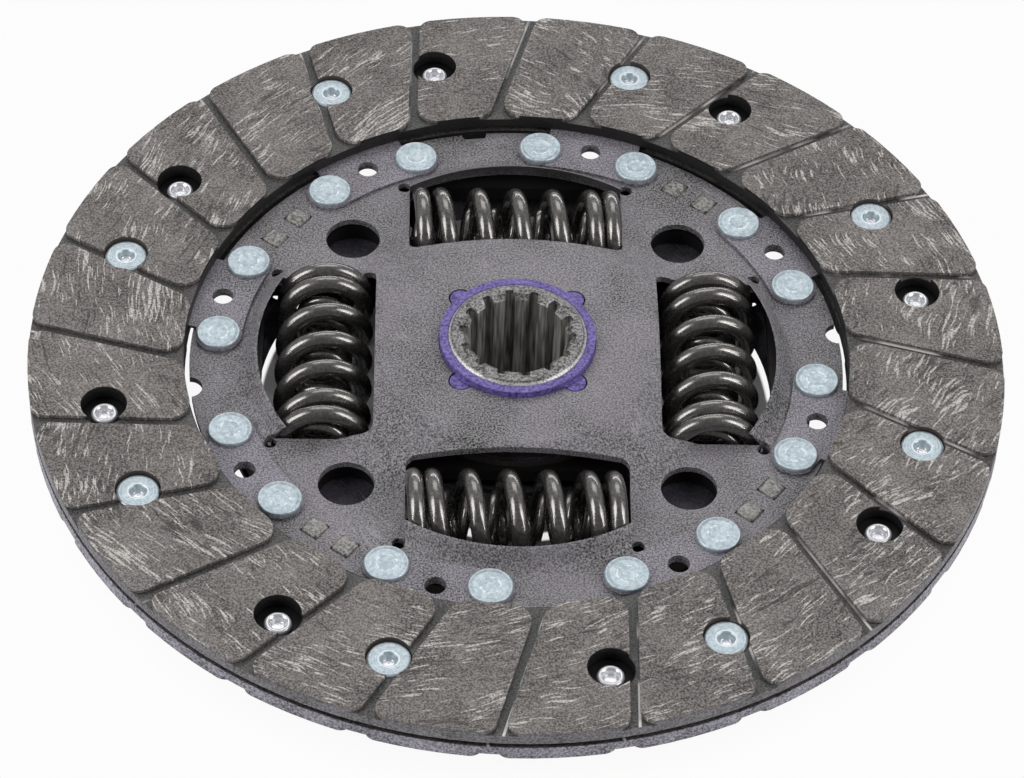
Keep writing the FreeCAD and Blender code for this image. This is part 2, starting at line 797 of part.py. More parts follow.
def make_hub():
    label = "hub"
    flange_top = "damper_plane + flange_half"
    flange_bottom = "damper_plane - flange_half"
    body = ring_body(label, [
        ("spline_minor", "hub_bottom + 1.0"),
        ("spline_minor + 1.0", "hub_bottom"),
        ("hub_radius - hub_chamfer", "hub_bottom"),
        ("hub_radius", "hub_bottom + hub_chamfer"),
        ("hub_radius", flange_bottom),
        ("flange_radius", flange_bottom),
        ("flange_radius", flange_top),
        ("hub_radius", flange_top),
        ("hub_radius", "hub_top - hub_chamfer"),
        ("hub_radius - hub_chamfer", "hub_top"),
        ("spline_minor + 1.0", "hub_top"),
        ("spline_minor", "hub_top - 1.0"),
    ])
    space = new_sketch(body, label + "_space_outline")
    turn = Rotation(Vector(0, 0, 1), size("spline_angle"))
    inner_half = size("spline_space_inner") + 0.12
    outer_half = size("spline_space_outer")
    corners = [
        turn.multVec(Vector(size("spline_minor") - 0.8, inner_half, 0)),
        turn.multVec(Vector(size("spline_minor") - 0.8, -inner_half, 0)),
        turn.multVec(Vector(size("spline_major"), -outer_half, 0)),
        turn.multVec(Vector(size("spline_major"), outer_half, 0)),
    ]
    add_outline(space, rounded_outline(corners, [0.0, 0.0, 0.3, 0.3]))
    spaces = add_pocket(body, label + "_space", space)
    add_polar_pattern(body, label + "_spline", [spaces], int(size("spline_teeth")))
    windows = new_sketch(body, label + "_window_outline")
    half = size("window_half")
    inner = size("window_inner")
    outer = size("flange_window_outer")
    frame = [Vector(inner, -half, 0), Vector(outer, -half, 0), Vector(outer, half, 0), Vector(inner, half, 0)]
    add_outline(windows, rounded_outline(frame, [size("flange_window_corner")] * 4))
    notch = new_sketch(body, label + "_notch_outline")
    add_outline(notch, sector_outline(size("flange_notch"), size("flange_radius") + 2.0,
                                      size("stop_angle"), size("flange_notch_half")))
    hole = new_sketch(body, label + "_hole_outline")
    place = polar(size("flange_hole_circle"), 45.0)
    add_circle(hole, "flange_hole", (place.x, place.y))
    window_cut = add_pocket(body, label + "_window", windows)
    notch_cut = add_pocket(body, label + "_notch", notch)
    hole_cut = add_pocket(body, label + "_hole", hole)
    add_polar_pattern(body, label + "_cuts", [window_cut, notch_cut, hole_cut], 4)
    return body


hub = make_hub()


# Bushes, friction rings and the disc spring between the plates and the flange.

def make_centering_bush():
    label = "centering_bush"
    dish_under = "plate_top - plate_thickness + dish_rise"
    body = ring_body(label, [
        ("bush_bore", "bush_foot"),
        ("bush_radius", "bush_foot"),
        ("bush_radius", dish_under + " - 1.5"),
        ("bush_flange", dish_under + " - 1.5"),
        ("bush_flange", dish_under),
        ("bush_radius", dish_under),
        ("bush_radius", "bush_top"),
        ("bush_bore", "bush_top"),
    ])
    ears = new_sketch(body, label + "_ear_outline", height=dish_under + " - 0.5")
    place = polar(size("ear_circle"), 45.0)
    add_circle(ears, "ear_radius", (place.x, place.y))
    ear = add_pad(body, label + "_ear", ears, "plate_thickness + 0.5")
    add_polar_pattern(body, label + "_ears", [ear], 4)
    bore = new_sketch(body, label + "_bore_outline")
    add_circle(bore, "bush_bore")
    add_pocket(body, label + "_bore", bore)
    return body


centering_bush = make_centering_bush()

front_face = "damper_plane + flange_half"
front_ring_top = front_face + " + front_ring_thickness"
pressure_top = front_ring_top + " + pressure_ring_thickness"
friction_ring_front = ring_body(
    "friction_ring_front", box_section("ring_inner", "ring_outer", front_face, front_ring_top))
pressure_ring = ring_body(
    "pressure_ring", box_section("ring_inner", "ring_outer", front_ring_top, pressure_top))
disc_spring = ring_body("disc_spring", [
    ("ring_inner", pressure_top + " + disc_spring_height - disc_spring_sheet"),
    ("disc_spring_outer", pressure_top),
    ("disc_spring_outer", pressure_top + " + disc_spring_sheet"),
    ("ring_inner", pressure_top + " + disc_spring_height"),
])

rear_face = "damper_plane - flange_half"
rear_ring_bottom = rear_face + " - rear_ring_thickness"
retainer_floor = "2 * damper_plane - plate_top + plate_thickness - retainer_dish"
friction_ring_rear = ring_body(
    "friction_ring_rear", box_section("ring_inner", "ring_outer", rear_ring_bottom, rear_face))
rear_bush = ring_body("rear_bush", [
    ("bush_bore", "rear_bush_end"),
    ("bush_radius", "rear_bush_end"),
    ("bush_radius", retainer_floor),
    ("bush_flange", retainer_floor),
    ("bush_flange", rear_ring_bottom),
    ("bush_bore", rear_ring_bottom),
])


# Damper springs: coils of many-sided wire with closed and ground ends, one solid each.

def coil_path(radius, wire, pitch, half_turns, crest, steps, hand):
    """Stations on the coil's middle line, which runs along Y about the spring's axis."""
    count = int(round(2 * half_turns * steps))
    end = size("spring_half_length") - wire / 2
    closed = 2 * wire + size("closed_gap")
    stations = []
    for index in range(count + 1):
        turn = -half_turns + 2 * half_turns * index / count
        reach = abs(turn)
        along = min(pitch * reach, end - closed * (half_turns - reach))
        angle = 2 * math.pi * (turn + crest) * hand
        place = Vector(radius * math.sin(angle), math.copysign(along, turn), radius * math.cos(angle))
        stations.append(place)
    return stations


def coil_solid(stations, wire, sides):
    """Straight lengths of many-sided wire, mitred where they meet."""
    directions = [(stations[index + 1] - stations[index]).normalize() for index in range(len(stations) - 1)]
    first = directions[0]
    outward = Vector(stations[0].x, 0, stations[0].z).normalize()
    side = first.cross(outward).normalize()
    up = side.cross(first).normalize()
    ring = []
    for number in range(sides):
        angle = 2 * math.pi * (number + 0.5) / sides
        ring.append(stations[0] + up * (wire * math.cos(angle)) + side * (wire * math.sin(angle)))
    rings = [ring]
    for index, direction in enumerate(directions):
        last = index == len(directions) - 1
        normal = direction if last else (direction + directions[index + 1]).normalize()
        target = stations[index + 1]
        moved = []
        for point in rings[-1]:
            step = (target - point).dot(normal) / direction.dot(normal)
            moved.append(point + direction * step)
        rings.append(moved)
    faces = []
    for near, far in zip(rings, rings[1:]):
        for number in range(sides):
            following = (number + 1) % sides
            corners = [near[number], near[following], far[following], far[number], near[number]]
            faces.append(Part.Face(Part.makePolygon(corners)))
    faces.append(Part.Face(Part.makePolygon(rings[0] + [rings[0][0]])))
    faces.append(Part.Face(Part.makePolygon(rings[-1] + [rings[-1][0]])))
    shell = Part.makeShell(faces)
    shell.sewShape()
    solid = Part.makeSolid(shell)
    if solid.Volume < 0:
        solid.reverse()
    return solid


def make_springs(name, radius, wire, pitch, half_turns, crest, steps, sides, hand):
    coil = coil_solid(coil_path(radius, wire, pitch, half_turns, crest, steps, hand), wire, sides)
    half_length = size("spring_half_length")
    room = 2 * radius
    between = Part.makeBox(2 * room, 2 * half_length, 2 * room, Vector(-room, -half_length, -room))
    shape = coil.common(between).Solids[0]
    springs = []
    for number in range(1, 5):
        spring = doc.addObject("Part::Feature", "%s_%d" % (name, number))
        spring.Label = "%s_%d" % (name, number)
        spring.Shape = shape
        turn = Rotation(Vector(0, 0, 1), (number - 1) * 90.0)
        place = turn.multVec(Vector(size("spring_circle"), 0, 0))
        spring.Placement = Placement(place + Vector(0, 0, size("damper_plane")), turn)
        springs.append(spring)
    return springs


outer_springs = make_springs(
    "damper_spring_outer", size("outer_coil_radius"), size("outer_wire"), size("outer_pitch"),
    size("outer_half_turns"), size("outer_crest"), 12, 8, 1)
inner_springs = make_springs(
    "damper_spring_inner", size("inner_coil_radius"), size("inner_wire"), size("inner_pitch"),
    size("inner_half_turns"), size("inner_crest"), 10, 6, -1)


# Every object is checked, then each sub-part is written to its own file.

doc.recompute()
failed = [item.Label for item in doc.Objects if {"Invalid", "Error"} & set(item.State)]
if failed:
    raise RuntimeError("failed objects: " + ", ".join(failed))

parts = [lining_upper, lining_lower, lining_rivets_upper, lining_rivets_lower, *segments, segment_rivets,
         drive_plate, *stops, retainer_plate, hub, centering_bush, disc_spring, pressure_ring,
         friction_ring_front, friction_ring_rear, rear_bush, *outer_springs, *inner_springs]

for part in parts:
    if part.Shape.isNull() or not part.Shape.isValid():
        raise RuntimeError("bad shape: " + part.Label)

os.makedirs("parts", exist_ok=True)
for part in parts:
    part.Shape.exportStep("parts/%s.step" % part.Label)
    box = part.Shape.BoundBox
    print("%-26s %2d solids %10.1f mm3  z %.2f to %.2f" % (
        part.Label, len(part.Shape.Solids), part.Shape.Volume, box.ZMin, box.ZMax))
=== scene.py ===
import math

import bmesh
import bpy
import numpy as np
from mathutils import Matrix, Vector


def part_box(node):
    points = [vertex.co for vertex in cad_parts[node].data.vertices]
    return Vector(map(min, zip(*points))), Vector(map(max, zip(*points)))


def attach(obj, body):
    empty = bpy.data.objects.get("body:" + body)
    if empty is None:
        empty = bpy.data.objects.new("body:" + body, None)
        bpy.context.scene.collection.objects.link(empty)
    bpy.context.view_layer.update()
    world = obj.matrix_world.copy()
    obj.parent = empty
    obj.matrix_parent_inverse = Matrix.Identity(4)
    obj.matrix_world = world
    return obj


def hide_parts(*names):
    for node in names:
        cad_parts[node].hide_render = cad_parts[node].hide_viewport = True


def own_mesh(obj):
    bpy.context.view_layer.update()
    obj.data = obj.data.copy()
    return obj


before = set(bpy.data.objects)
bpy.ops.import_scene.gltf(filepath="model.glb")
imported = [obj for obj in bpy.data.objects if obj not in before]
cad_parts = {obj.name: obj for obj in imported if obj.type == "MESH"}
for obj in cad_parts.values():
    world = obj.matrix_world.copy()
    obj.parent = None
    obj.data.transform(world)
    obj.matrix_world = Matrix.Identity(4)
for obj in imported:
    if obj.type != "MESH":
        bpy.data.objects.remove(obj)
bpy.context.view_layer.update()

# The studio: a white table, one long lens, soft boxes left, right and behind, a low strip behind and one at
# each side in front, and a room that is darker towards the camera. The disc lies on its hub's rear end, so
# the table is at the hub's lowest point.
MM = 0.001
picture_width = 1024
film_width = 36.0
focal_length_pixels = 4056.8
camera_place = Vector((-21.54, -568.27, 611.9)) * MM
camera_aim = Vector((-1.01, -8.39, 0.0)) * MM
camera_roll = math.radians(2.37)
table_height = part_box("hub")[0].z
white = (1.0, 1.0, 1.0, 1.0)
white_level = 0.975

camera_data = bpy.data.cameras.new("studio_camera")
camera_data.sensor_width = film_width
camera_data.lens = film_width * focal_length_pixels / picture_width
camera_data.clip_start = 0.01
camera = bpy.data.objects.new("studio_camera", camera_data)
bpy.context.scene.collection.objects.link(camera)
look = (camera_aim - camera_place).to_track_quat("-Z", "Y").to_matrix()
turn = Matrix.Rotation(camera_roll, 3, "Z")
camera.matrix_world = Matrix.Translation(camera_place) @ (look @ turn).to_4x4()
bpy.context.scene.camera = camera
bpy.context.scene.view_settings.view_transform = "Standard"


def soft_box(name, place, width, height, power):
    """A rectangular lamp at place, in metres, that faces the disc."""
    lamp = bpy.data.lights.new(name, "AREA")
    lamp.shape = "RECTANGLE"
    lamp.size = width
    lamp.size_y = height
    lamp.energy = power
    holder = bpy.data.objects.new(name, lamp)
    bpy.context.scene.collection.objects.link(holder)
    facing = (Vector((0, 0, 0)) - Vector(place)).to_track_quat("-Z", "Y")
    holder.matrix_world = Matrix.Translation(Vector(place)) @ facing.to_matrix().to_4x4()


soft_box("left_soft_box", (-0.62, -0.10, 0.50), 0.30, 0.56, 1.9)
soft_box("right_soft_box", (0.62, -0.14, 0.50), 0.30, 0.56, 1.62)
soft_box("rear_soft_box", (0.0, 0.55, 0.70), 0.60, 0.40, 1.2)
soft_box("rear_strip", (0.10, 0.80, 0.20), 0.90, 0.07, 0.9)
soft_box("left_strip", (-0.60, -0.30, 0.34), 0.07, 0.60, 1.0)
soft_box("right_strip", (0.60, -0.30, 0.34), 0.07, 0.60, 1.0)


def add(tree, kind, inputs=None, **settings):
    """Puts a node in a tree, with sockets set to values or linked to other nodes' outputs."""
    node = tree.nodes.new(kind)
    for name, value in settings.items():
        setattr(node, name, value)
    for key, value in (inputs or {}).items():
        if isinstance(value, bpy.types.NodeSocket):
            tree.links.new(value, node.inputs[key])
        else:
            node.inputs[key].default_value = value
    return node


def calc(tree, operation, *values):
    """The result of a Math node."""
    return add(tree, "ShaderNodeMath", dict(enumerate(values)), operation=operation).outputs[0]


def blend_colour(tree, share, first, second):
    """The first colour where share is 0 and the second where it is 1."""
    node = add(tree, "ShaderNodeMix", data_type="RGBA", blend_type="MIX")
    for socket, value in ((node.inputs[0], share), (node.inputs[6], first), (node.inputs[7], second)):
        if isinstance(value, bpy.types.NodeSocket):
            tree.links.new(value, socket)
        else:
            socket.default_value = value
    return node.outputs[2]


def ramp(tree, value, low, high, start=0.0, end=1.0):
    """A value stretched from low..high to start..end and clamped."""
    node = add(tree, "ShaderNodeMapRange", {"Value": value, "From Min": low, "From Max": high,
                                            "To Min": start, "To Max": end})
    node.clamp = True
    return node.outputs[0]


world = bpy.data.worlds.new("pale_room")
bpy.context.scene.world = world
world.use_nodes = True
room = world.node_tree
room.nodes.clear()
room_path = add(room, "ShaderNodeLightPath")
room_place = add(room, "ShaderNodeTexCoord").outputs["Generated"]
room_depth = add(room, "ShaderNodeSeparateXYZ", {0: room_place}).outputs[1]
room_power = calc(room, "MULTIPLY", ramp(room, room_depth, -0.5, 0.4, 0.28, 0.62),
                  calc(room, "MULTIPLY_ADD", room_path.outputs["Is Glossy Ray"], -0.4, 1.0))
room_light = add(room, "ShaderNodeBackground", {"Color": (0.97, 0.98, 1.0, 1.0), "Strength": room_power})
room_white = add(room, "ShaderNodeBackground", {"Color": white, "Strength": white_level})
room_mix = add(room, "ShaderNodeMixShader", {
    0: room_path.outputs["Is Camera Ray"], 1: room_light.outputs[0], 2: room_white.outputs[0]})
add(room, "ShaderNodeOutputWorld", {"Surface": room_mix.outputs[0]})

table_mesh = bpy.data.meshes.new("white_table")
half_table = 4.0
table_corners = [(x * half_table, y * half_table, table_height)
                 for x, y in ((-1, -1), (1, -1), (1, 1), (-1, 1))]
table_mesh.from_pydata(table_corners, [], [(0, 1, 2, 3)])
table = bpy.data.objects.new("white_table", table_mesh)
bpy.context.scene.collection.objects.link(table)
table_paint = bpy.data.materials.new("white_table_paint")
table_paint.use_nodes = True
paint = table_paint.node_tree
paint.nodes.clear()
paint_path = add(paint, "ShaderNodeLightPath")
paint_diffuse = add(paint, "ShaderNodeBsdfDiffuse", {"Color": (0.93, 0.93, 0.93, 1.0)})
paint_glow = add(paint, "ShaderNodeEmission", {"Color": white, "Strength": white_level})
paint_place = add(paint, "ShaderNodeTexCoord").outputs["Object"]


def table_distance(x, y):
    """The distance in millimetres from a spot on the table, for its glow."""
    node = add(paint, "ShaderNodeVectorMath", {0: paint_place, 1: (x * MM, y * MM, table_height)},
               operation="DISTANCE")
    return calc(paint, "DIVIDE", node.outputs["Value"], MM)


# The table glows white around the disc and through its holes, and stays dark under the plates' middle.
# The slit shows between the coils of the front window, and two spots stay dark, under the rear window and
# under the rear of the linings. Nearer than 58 mm, only the rear half glows.
rear_glow_start = 52.9
front_glow_start = 57.0
far_glow_start = 88.0
far_glow_end = 100.0
far_glow = 0.05
slit_start = 33.0
slit_end = 35.6
slit_power = 0.8
paint_reach = table_distance(0.0, 0.0)
paint_slit = calc(paint, "MULTIPLY", ramp(paint, paint_reach, slit_start, slit_start + 0.6),
                  ramp(paint, paint_reach, slit_end, slit_end - 0.6))
paint_slit = calc(paint, "MULTIPLY", paint_slit, ramp(paint, table_distance(0.0, -33.5), 14.0, 12.0))
paint_row = calc(paint, "DIVIDE", add(paint, "ShaderNodeSeparateXYZ", {0: paint_place}).outputs[1], MM)
paint_half = calc(paint, "MAXIMUM", ramp(paint, paint_reach, front_glow_start, front_glow_start + 1.0),
                  ramp(paint, paint_row, 3.0, 5.0))
paint_share = calc(paint, "MULTIPLY", paint_half,
                   ramp(paint, paint_reach, rear_glow_start, rear_glow_start + 0.6, 0.0, 1.0 - far_glow))
paint_share = calc(paint, "ADD", paint_share,
                   ramp(paint, paint_reach, far_glow_start, far_glow_end, 0.0, far_glow))
paint_share = calc(paint, "MAXIMUM", paint_share, calc(paint, "MULTIPLY", paint_slit, slit_power))
paint_spots = calc(paint, "MULTIPLY", ramp(paint, table_distance(0.0, 52.0), 24.0, 27.0),
                   ramp(paint, table_distance(-7.0, 81.0), 8.0, 10.0))
paint_share = calc(paint, "MULTIPLY", paint_share, paint_spots)
paint_share = calc(paint, "MULTIPLY", paint_share, paint_path.outputs["Is Camera Ray"])
paint_mix = add(paint, "ShaderNodeMixShader", {0: paint_share, 1: paint_diffuse.outputs[0],
                                               2: paint_glow.outputs[0]})
add(paint, "ShaderNodeOutputMaterial", {"Surface": paint_mix.outputs[0]})
table_mesh.materials.append(table_paint)


# Friction linings: moulded compound with wound yarn in it, ground flat on the pads.
# Each lining is one ring; slanted grooves divide its face into twenty-four pads.
def linear(red, green, blue):
    """A colour from its 0 to 255 screen values."""
    parts = []
    for value in (red, green, blue):
        share = value / 255.0
        parts.append(share / 12.92 if share <= 0.04045 else ((share + 0.055) / 1.055) ** 2.4)
    return (parts[0], parts[1], parts[2], 1.0)


def new_group(name, inputs, outputs):
    """A shader node group with named sockets; returns its tree and its input and output nodes."""
    tree = bpy.data.node_groups.new(name, "ShaderNodeTree")
    for label, kind, value in inputs:
        socket = tree.interface.new_socket(label, in_out="INPUT", socket_type=kind)
        if value is not None:
            socket.default_value = value
    for label, kind in outputs:
        tree.interface.new_socket(label, in_out="OUTPUT", socket_type=kind)
    return tree, tree.nodes.new("NodeGroupInput"), tree.nodes.new("NodeGroupOutput")


def place_group(tree, group, inputs):
    """A group node in a material's tree, with its sockets set or linked."""
    node = tree.nodes.new("ShaderNodeGroup")
    node.node_tree = group
    for key, value in inputs.items():
        if isinstance(value, bpy.types.NodeSocket):
            tree.links.new(value, node.inputs[key])
        else:
            node.inputs[key].default_value = value
    return node


def new_finish(name):
    """A material with an empty tree, a Principled BSDF and its output."""
    finish = bpy.data.materials.new(name)
    finish.use_nodes = True
    tree = finish.node_tree
    tree.nodes.clear()
    surface = tree.nodes.new("ShaderNodeBsdfPrincipled")
    output = tree.nodes.new("ShaderNodeOutputMaterial")
    tree.links.new(surface.outputs[0], output.inputs["Surface"])
    return finish, tree, surface


def millimetres(tree):
    """Object coordinates in millimetres."""
    place = add(tree, "ShaderNodeTexCoord").outputs["Object"]
    return add(tree, "ShaderNodeVectorMath", {0: place, "Scale": 1000.0}, operation="SCALE").outputs[0]


def flat_length(tree, x, y):
    """The length of a line that runs x one way and y square to it."""
    return calc(tree, "SQRT", calc(tree, "ADD", calc(tree, "MULTIPLY", x, x), calc(tree, "MULTIPLY", y, y)))


# One group makes short wound yarn ends: noise drawn out along a slanted, swaying line and cut to streaks.
# They come in patches, so that neighbouring strands lie the same way.
yarn_wave = 0.1
yarn_sway = 4.0
patch_weight = 0.65
streak_softness = 0.07
yarn_group, yarn_in, yarn_out = new_group(
    "yarn_streaks",
    [("Vector", "NodeSocketVector", None), ("Slant", "NodeSocketFloat", 0.4),
     ("Length", "NodeSocketFloat", 8.0), ("Width", "NodeSocketFloat", 0.8),
     ("Cut", "NodeSocketFloat", 0.62), ("Shift", "NodeSocketFloat", 0.0)],
    [("Streaks", "NodeSocketFloat")])
yarn_turned = add(yarn_group, "ShaderNodeVectorRotate", {"Vector": yarn_in.outputs["Vector"],
                                                         "Angle": yarn_in.outputs["Slant"]},
                  rotation_type="Z_AXIS")
yarn_parts = add(yarn_group, "ShaderNodeSeparateXYZ", {0: yarn_turned.outputs[0]})
yarn_layer = calc(yarn_group, "ADD", yarn_parts.outputs[2], yarn_in.outputs["Shift"])
yarn_spot = add(yarn_group, "ShaderNodeCombineXYZ", {
    0: yarn_parts.outputs[0], 1: yarn_parts.outputs[1], 2: yarn_layer})
yarn_patch = add(yarn_group, "ShaderNodeTexNoise", {
    "Vector": yarn_spot.outputs[0], "Scale": yarn_wave, "Detail": 1.0}).outputs["Fac"]
yarn_side = calc(yarn_group, "MULTIPLY_ADD", yarn_patch, yarn_sway, yarn_parts.outputs[1])
yarn_drawn = add(yarn_group, "ShaderNodeCombineXYZ", {
    0: calc(yarn_group, "DIVIDE", yarn_parts.outputs[0], yarn_in.outputs["Length"]),
    1: calc(yarn_group, "DIVIDE", yarn_side, yarn_in.outputs["Width"]),
    2: yarn_layer})
yarn_noise = add(yarn_group, "ShaderNodeTexNoise", {
    "Vector": yarn_drawn.outputs[0], "Scale": 1.0, "Detail": 1.0, "Roughness": 0.5})
yarn_level = calc(yarn_group, "MULTIPLY_ADD", calc(yarn_group, "SUBTRACT", yarn_patch, 0.5), patch_weight,
                  yarn_noise.outputs["Fac"])
yarn_edge = calc(yarn_group, "ADD", yarn_in.outputs["Cut"], streak_softness)
yarn_cut = add(yarn_group, "ShaderNodeMapRange", {"Value": yarn_level, "From Min": yarn_in.outputs["Cut"],
                                                  "From Max": yarn_edge})
yarn_group.links.new(yarn_cut.outputs[0], yarn_out.inputs["Streaks"])

# One group makes the fine mottle of moulded, phosphated or turned surfaces, and its height.
mottle_group, mottle_in, mottle_out = new_group(
    "surface_mottle",
    [("Vector", "NodeSocketVector", None), ("Grain", "NodeSocketFloat", 1.6),
     ("Cloud", "NodeSocketFloat", 0.08),
     ("First", "NodeSocketColor", white), ("Second", "NodeSocketColor", white)],
    [("Colour", "NodeSocketColor"), ("Height", "NodeSocketFloat"), ("Wide", "NodeSocketFloat")])
mottle_fine = add(mottle_group, "ShaderNodeTexNoise", {"Vector": mottle_in.outputs["Vector"],
                                                       "Scale": mottle_in.outputs["Grain"],
                                                       "Detail": 1.0, "Roughness": 0.7})
mottle_grain = ramp(mottle_group, mottle_fine.outputs["Fac"], 0.36, 0.64)
mottle_wide = add(mottle_group, "ShaderNodeTexNoise", {"Vector": mottle_in.outputs["Vector"],
                                                       "Scale": mottle_in.outputs["Cloud"], "Detail": 2.0})
mottle_cloud = ramp(mottle_group, mottle_wide.outputs["Fac"], 0.35, 0.65)
mottle_share = calc(mottle_group, "MULTIPLY_ADD", mottle_cloud, 0.25,
                    calc(mottle_group, "MULTIPLY", mottle_grain, 0.75))
mottle_colour = blend_colour(mottle_group, mottle_share, mottle_in.outputs["First"],
                             mottle_in.outputs["Second"])
mottle_group.links.new(mottle_colour, mottle_out.inputs["Colour"])
mottle_group.links.new(mottle_grain, mottle_out.inputs["Height"])
mottle_group.links.new(mottle_cloud, mottle_out.inputs["Wide"])


lining_radius = 100.0
lining_bore = 68.3
face_height = 3.85
groove_height = 2.75
groove_offset = 22.8
groove_lead = math.radians(0.6)
pad_angle = math.radians(15.0)
lining_rivet_circle = 85.4
rivet_step = 45.0
upper_rivet_angle = 27.85
lower_rivet_angle = 11.8
counterbore = 4.6
clearance_hole = 4.7
pad_stride = 7.31


def friction_compound(name, turned_over):
    """Compound and yarn, laid out pad by pad, a stride apart in the noise, so that each pad's yarn differs.

    The grooves' floors are painted darker, as shade in the recesses, with a thin pale line along one corner.
    The rim has a mottle of its own, painted lighter on the lower lining as light thrown up from the table.
    The bore and the walls of the rivet holes are painted dark, as shade. turned_over is for the lower lining,
    whose face looks down.
    """
    finish, tree, surface = new_finish(name)
    place = millimetres(tree)
    parts = add(tree, "ShaderNodeSeparateXYZ", {0: place})
    x, y, z = parts.outputs[0], parts.outputs[1], parts.outputs[2]
    radius = flat_length(tree, x, y)
    angle = calc(tree, "ARCTAN2", y, x)
    if turned_over:
        angle = calc(tree, "SUBTRACT", math.radians(upper_rivet_angle + lower_rivet_angle), angle)
    lean = calc(tree, "ARCSINE", calc(tree, "DIVIDE", groove_offset, radius))
    turned = calc(tree, "SUBTRACT", calc(tree, "ADD", angle, groove_lead), lean)
    along = calc(tree, "DIVIDE", turned, pad_angle)
    pad = calc(tree, "FLOOR", along)
    across = calc(tree, "MULTIPLY", calc(tree, "SUBTRACT", along, pad),
                  calc(tree, "MULTIPLY", radius, pad_angle))
    pad_shift = calc(tree, "MULTIPLY", pad, pad_stride)
    pad_place = add(tree, "ShaderNodeCombineXYZ", {0: across, 1: radius, 2: pad_shift})
    pad_turn = add(tree, "ShaderNodeTexWhiteNoise", {"W": pad}, noise_dimensions="1D").outputs["Value"]
    pad_turn = calc(tree, "SUBTRACT", pad_turn, 0.5)
    streaks = []
    for turn, length, width, cut, shift in (
            (0.0, 6.5, 0.6, 0.655, 0.0), (0.15, 4.6, 0.5, 0.675, 3.7), (-0.1, 5.5, 0.8, 0.66, 21.0)):
        streaks.append(place_group(tree, yarn_group, {
            "Vector": pad_place.outputs[0], "Slant": calc(tree, "ADD", pad_turn, turn), "Length": length,
            "Width": width, "Cut": cut, "Shift": shift}).outputs[0])
    pale_yarn = calc(tree, "MAXIMUM", streaks[0], streaks[1])
    dark_yarn = streaks[2]
    mottle = place_group(tree, mottle_group, {
        "Vector": place, "Grain": 2.4, "Cloud": 0.11,
        "First": linear(56, 52, 50), "Second": linear(144, 138, 134)})
    broken = ramp(tree, mottle.outputs["Height"], 0.1, 0.8, 0.3, 0.85)
    face = blend_colour(tree, calc(tree, "MULTIPLY", dark_yarn, 0.6), mottle.outputs["Colour"],
                        linear(44, 40, 38))
    face = blend_colour(tree, calc(tree, "MULTIPLY", pale_yarn, broken), face, linear(208, 204, 198))
    height = calc(tree, "ABSOLUTE", z)
    # The groove floors' colours are darker than the pads': painted shade in the recesses.
    groove_floor_shade = place_group(tree, mottle_group, {
        "Vector": place, "Grain": 2.2, "Cloud": 0.2,
        "First": linear(36, 35, 34), "Second": linear(98, 96, 94)})
    corner = calc(tree, "MULTIPLY", ramp(tree, across, 0.55, 0.7), ramp(tree, across, 1.25, 1.1))
    corner = calc(tree, "MULTIPLY", corner, calc(
        tree, "MULTIPLY", ramp(tree, height, groove_height + 0.55, groove_height + 0.35),
        ramp(tree, radius, lining_bore + 2.2, lining_bore + 3.7)))
    corner = calc(tree, "MULTIPLY", corner, ramp(tree, mottle.outputs["Wide"], 0.3, 0.8, 0.0, 0.9))
    floor_colour = blend_colour(tree, corner, groove_floor_shade.outputs["Colour"], linear(220, 216, 212))
    level = ramp(tree, height, groove_height + 0.2, groove_height + 0.55)
    colour = blend_colour(tree, level, floor_colour, face)
    # The lower lining's rim is painted lighter than the upper's: painted light, as thrown up from the table.
    if turned_over:
        rim_dark, rim_light = linear(56, 53, 58), linear(176, 172, 184)
    else:
        rim_dark, rim_light = linear(50, 48, 50), linear(134, 130, 135)
    rim = place_group(tree, mottle_group, {
        "Vector": place, "Grain": 2.0, "Cloud": 0.15, "First": rim_dark, "Second": rim_light})
    rim_share = calc(tree, "MULTIPLY", ramp(tree, radius, lining_radius - 0.25, lining_radius - 0.05),
                     ramp(tree, height, face_height - 0.01, face_height - 0.09))
    colour = blend_colour(tree, rim_share, colour, rim.outputs["Colour"])
    # The bore's wall is painted near black: painted shade in the narrow gap by the plate.
    bore_shade = calc(tree, "MULTIPLY", ramp(tree, radius, lining_bore + 0.18, lining_bore + 0.06),
                      ramp(tree, height, face_height - 0.01, face_height - 0.15))
    colour = blend_colour(tree, bore_shade, colour, linear(30, 28, 28))
    # The walls of the counterbores and clearance holes are painted dark: painted shade inside the holes.
    for first, hole, hole_shade_colour in ((upper_rivet_angle, counterbore, linear(74, 68, 64)),
                                     (lower_rivet_angle, clearance_hole, linear(26, 24, 24))):
        fold = calc(tree, "PINGPONG", calc(tree, "SUBTRACT", angle, math.radians(first)),
                    math.radians(rivet_step / 2))
        outward = calc(tree, "MULTIPLY", radius, calc(tree, "COSINE", fold))
        outward = calc(tree, "SUBTRACT", outward, lining_rivet_circle)
        aside = calc(tree, "MULTIPLY", radius, calc(tree, "SINE", fold))
        hole_shade = ramp(tree, flat_length(tree, outward, aside), hole + 0.3, hole + 0.1)
        hole_shade = calc(tree, "MULTIPLY", hole_shade, ramp(tree, height, face_height - 0.05, face_height - 0.25))
        colour = blend_colour(tree, hole_shade, colour, hole_shade_colour)
    tree.links.new(colour, surface.inputs["Base Color"])
    bumps = calc(tree, "MULTIPLY_ADD", pale_yarn, 0.5, mottle.outputs["Height"])
    bump = add(tree, "ShaderNodeBump", {"Height": bumps, "Strength": 0.45, "Distance": 0.0001})
    tree.links.new(bump.outputs[0], surface.inputs["Normal"])
    tree.links.new(calc(tree, "MULTIPLY_ADD", level, 0.34, 0.36), surface.inputs["Roughness"])
    return finish


window_edge = 29.2 * MM
window_half = 22.6 * MM
edge_tolerance = 0.05 * MM
merge_distance = 0.002 * MM
flat_angle = math.radians(0.6)
crease_angle = math.radians(32.0)


